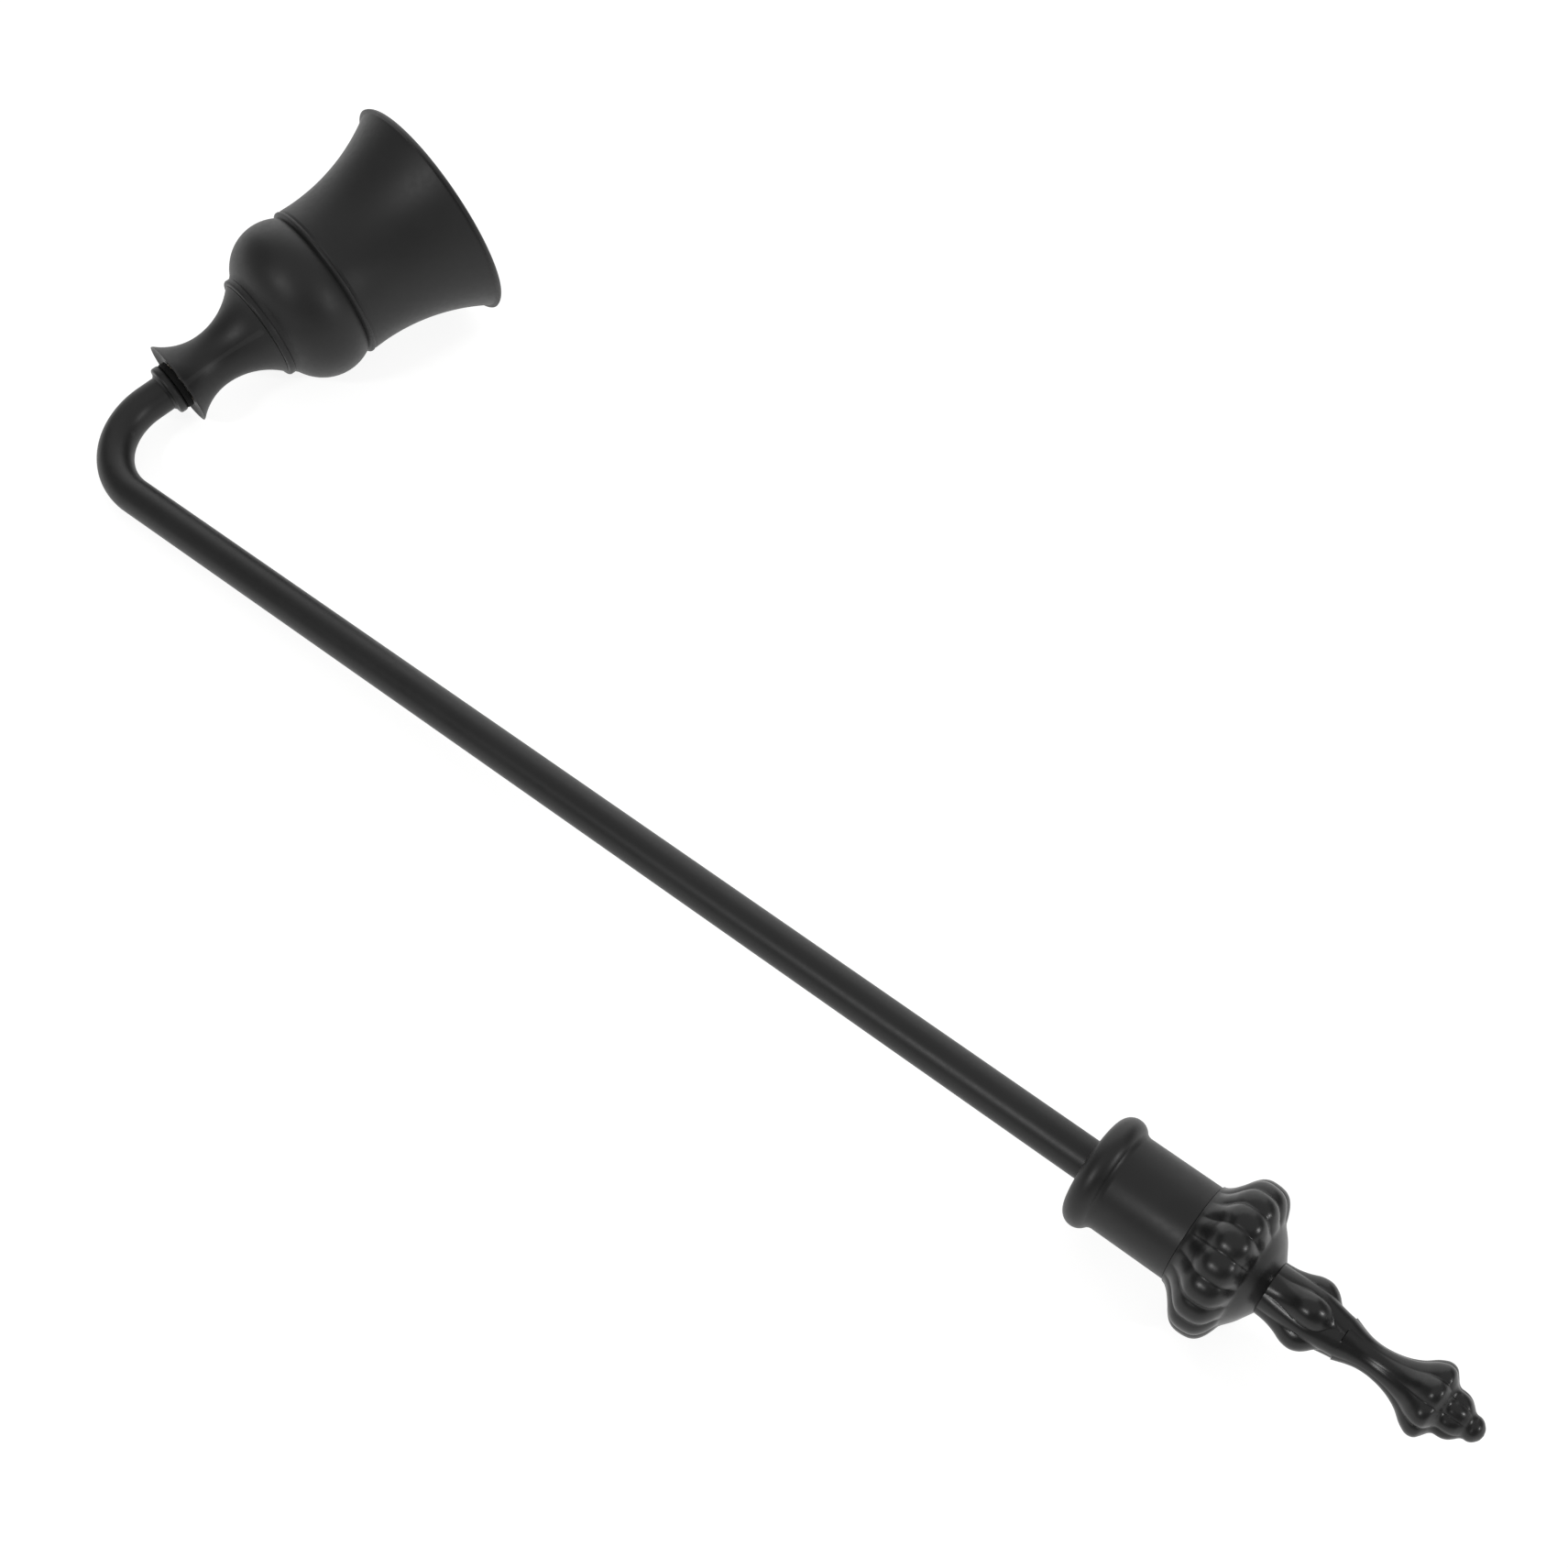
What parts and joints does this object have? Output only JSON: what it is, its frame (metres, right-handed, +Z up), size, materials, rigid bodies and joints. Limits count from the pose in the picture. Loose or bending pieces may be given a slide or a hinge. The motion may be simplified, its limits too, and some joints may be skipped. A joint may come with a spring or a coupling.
{
  "type": "candle snuffer",
  "caption": "Black metal candle snuffer with a flared bell that turns on the end of a bent rod and a handle with a ferrule, lobed rosette and lobed finial.",
  "frame": {"origin": "centre of the bounding box on the floor the snuffer lies on", "axes": "+Z up from the floor; +X along the rod from the bend to the finial, seen from above; +Y to the side the bell points to"},
  "size_m": [0.2651, 0.0876, 0.0397],
  "materials": {
    "satin_black": "satin black powder coat",
    "gloss_black_cast": "semi-gloss black lacquer over a casting",
    "black_fibre": "matte black fibre",
    "brass_bush": "turned brass, a little tarnished",
    "zinc_steel": "zinc plated steel"
  },
  "bodies": {
    "handle_and_rod": {"bent_rod": "satin_black", "rod_collar": "satin_black", "neck_washer": "black_fibre", "swivel_washer": "zinc_steel", "spring_washer": "zinc_steel", "swivel_nut": "zinc_steel", "handle_ferrule": "satin_black", "ferrule_bush": "brass_bush", "handle_nut": "zinc_steel", "handle_washer": "zinc_steel", "rosette": "gloss_black_cast", "finial_stud": "zinc_steel", "finial": "gloss_black_cast"},
    "bell": {"bell_neck": "satin_black", "swivel_bush": "brass_bush", "bell_bulb": "satin_black", "bell_skirt": "satin_black"}
  },
  "joints": [
    {"name": "bell_swivel", "type": "hinge", "parent": "handle_and_rod", "child": "bell", "pos_m": [-0.1217, -0.00385, 0.00995], "axis": [0.1981, 0.9478, 0.2501], "continuous": true}
  ]
}
